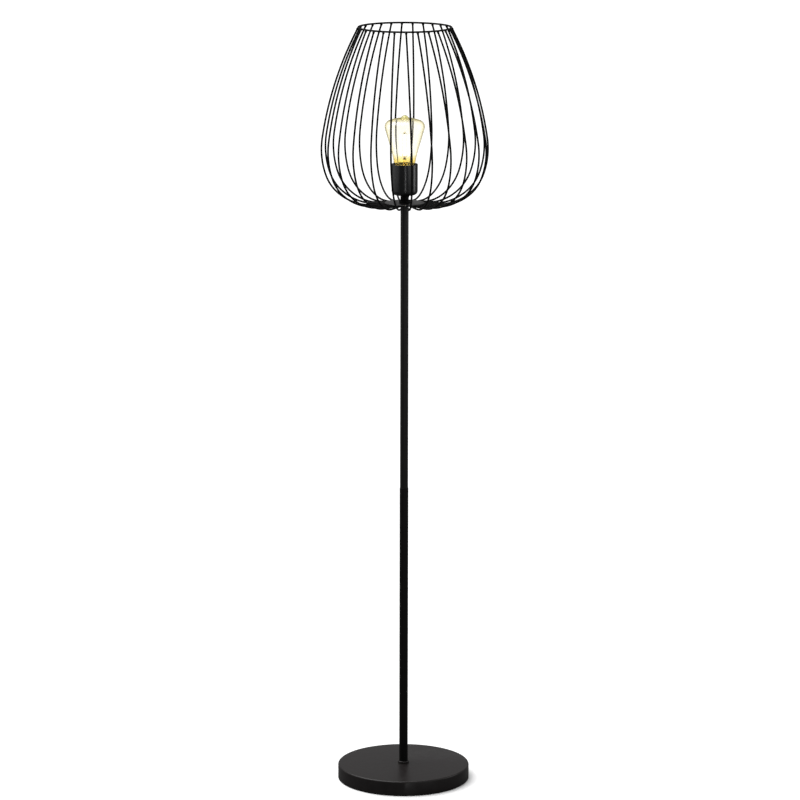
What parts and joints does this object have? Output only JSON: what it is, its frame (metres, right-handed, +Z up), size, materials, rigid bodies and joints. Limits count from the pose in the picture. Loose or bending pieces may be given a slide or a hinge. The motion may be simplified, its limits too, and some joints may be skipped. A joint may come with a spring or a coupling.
{
  "type": "floor lamp",
  "caption": "Floor lamp with a round weighted base, a slim two-piece pole and an open wire cage shade around a bare pear-shaped screw-in bulb.",
  "frame": {"origin": "centre of the base's underside, on the floor", "axes": "+Z up along the pole, -Y towards the front of the picture, +X to its right"},
  "size_m": [0.2748, 0.2739, 1.2666],
  "materials": {
    "base_paint": "matt black powder coat",
    "pole_paint": "matt black powder coat",
    "cage_paint": "matt black powder coat",
    "holder_paint": "satin dark grey coat",
    "weight_concrete": "cast concrete",
    "pad_felt": "black felt",
    "inlet_rubber": "black rubber",
    "zinc_steel": "zinc plated",
    "holder_plastic": "black insulating plastic",
    "holder_ceramic": "unglazed white ceramic",
    "contact_brass": "plain brass",
    "cap_brass": "plain brass",
    "cap_glass": "black cap glass",
    "solder": "solder",
    "bulb_glass": "clear glass, faintly amber",
    "stem_glass": "clear glass",
    "filament": "glowing filament coating, emissive"
  },
  "bodies": {
    "stand": {"base_cover": "base_paint", "foot_collar": "base_paint", "lower_pole": "pole_paint", "upper_pole": "pole_paint", "neck_collar": "pole_paint", "top_ring": "cage_paint", "hub_plate": "cage_paint", "hub_nut": "cage_paint", "neck_spacer": "cage_paint", "cage_wire_01": "cage_paint", "cage_wire_02": "cage_paint", "cage_wire_03": "cage_paint", "cage_wire_04": "cage_paint", "cage_wire_05": "cage_paint", "cage_wire_06": "cage_paint", "cage_wire_07": "cage_paint", "cage_wire_08": "cage_paint", "cage_wire_09": "cage_paint", "cage_wire_10": "cage_paint", "cage_wire_11": "cage_paint", "cage_wire_12": "cage_paint", "cage_wire_13": "cage_paint", "cage_wire_14": "cage_paint", "cage_wire_15": "cage_paint", "cage_wire_16": "cage_paint", "cage_wire_17": "cage_paint", "cage_wire_18": "cage_paint", "cage_wire_19": "cage_paint", "cage_wire_20": "cage_paint", "cage_wire_21": "cage_paint", "cage_wire_22": "cage_paint", "cage_wire_23": "cage_paint", "cage_wire_24": "cage_paint", "cage_wire_25": "cage_paint", "holder_cup": "holder_paint", "base_weight": "weight_concrete", "base_pad": "pad_felt", "cord_grommet": "inlet_rubber", "foot_nipple": "zinc_steel", "foot_washer": "zinc_steel", "foot_nut": "zinc_steel", "lower_pole_foot_insert": "zinc_steel", "lower_pole_top_insert": "zinc_steel", "upper_pole_foot_insert": "zinc_steel", "upper_pole_top_insert": "zinc_steel", "pole_coupler": "zinc_steel", "hub_nipple": "zinc_steel", "holder_nut": "zinc_steel", "terminal_screws": "zinc_steel", "holder_sleeve": "holder_plastic", "holder_base": "holder_ceramic", "screw_shell": "contact_brass", "centre_contact": "contact_brass", "side_contact": "contact_brass"},
    "bulb_foot": {"bulb_contact": "solder", "bulb_insulator": "cap_glass"},
    "bulb": {"bulb_cap": "cap_brass", "bulb_glass": "bulb_glass", "bulb_stem": "stem_glass", "bulb_filament": "filament"}
  },
  "joints": [
    {"name": "bulb_rise", "type": "slide", "parent": "stand", "child": "bulb_foot", "axis": [0, 0, 1], "range_m": [0, 0.0145]},
    {"name": "bulb_turn", "type": "hinge", "parent": "bulb_foot", "child": "bulb", "pos_m": [0, 0, 1.04], "axis": [0, 0, 1], "range_deg": [0, 1440]}
  ],
  "couplings": [
    {"joint": "bulb_rise", "follows": "bulb_turn", "m_per_rad": 0.00057614}
  ]
}
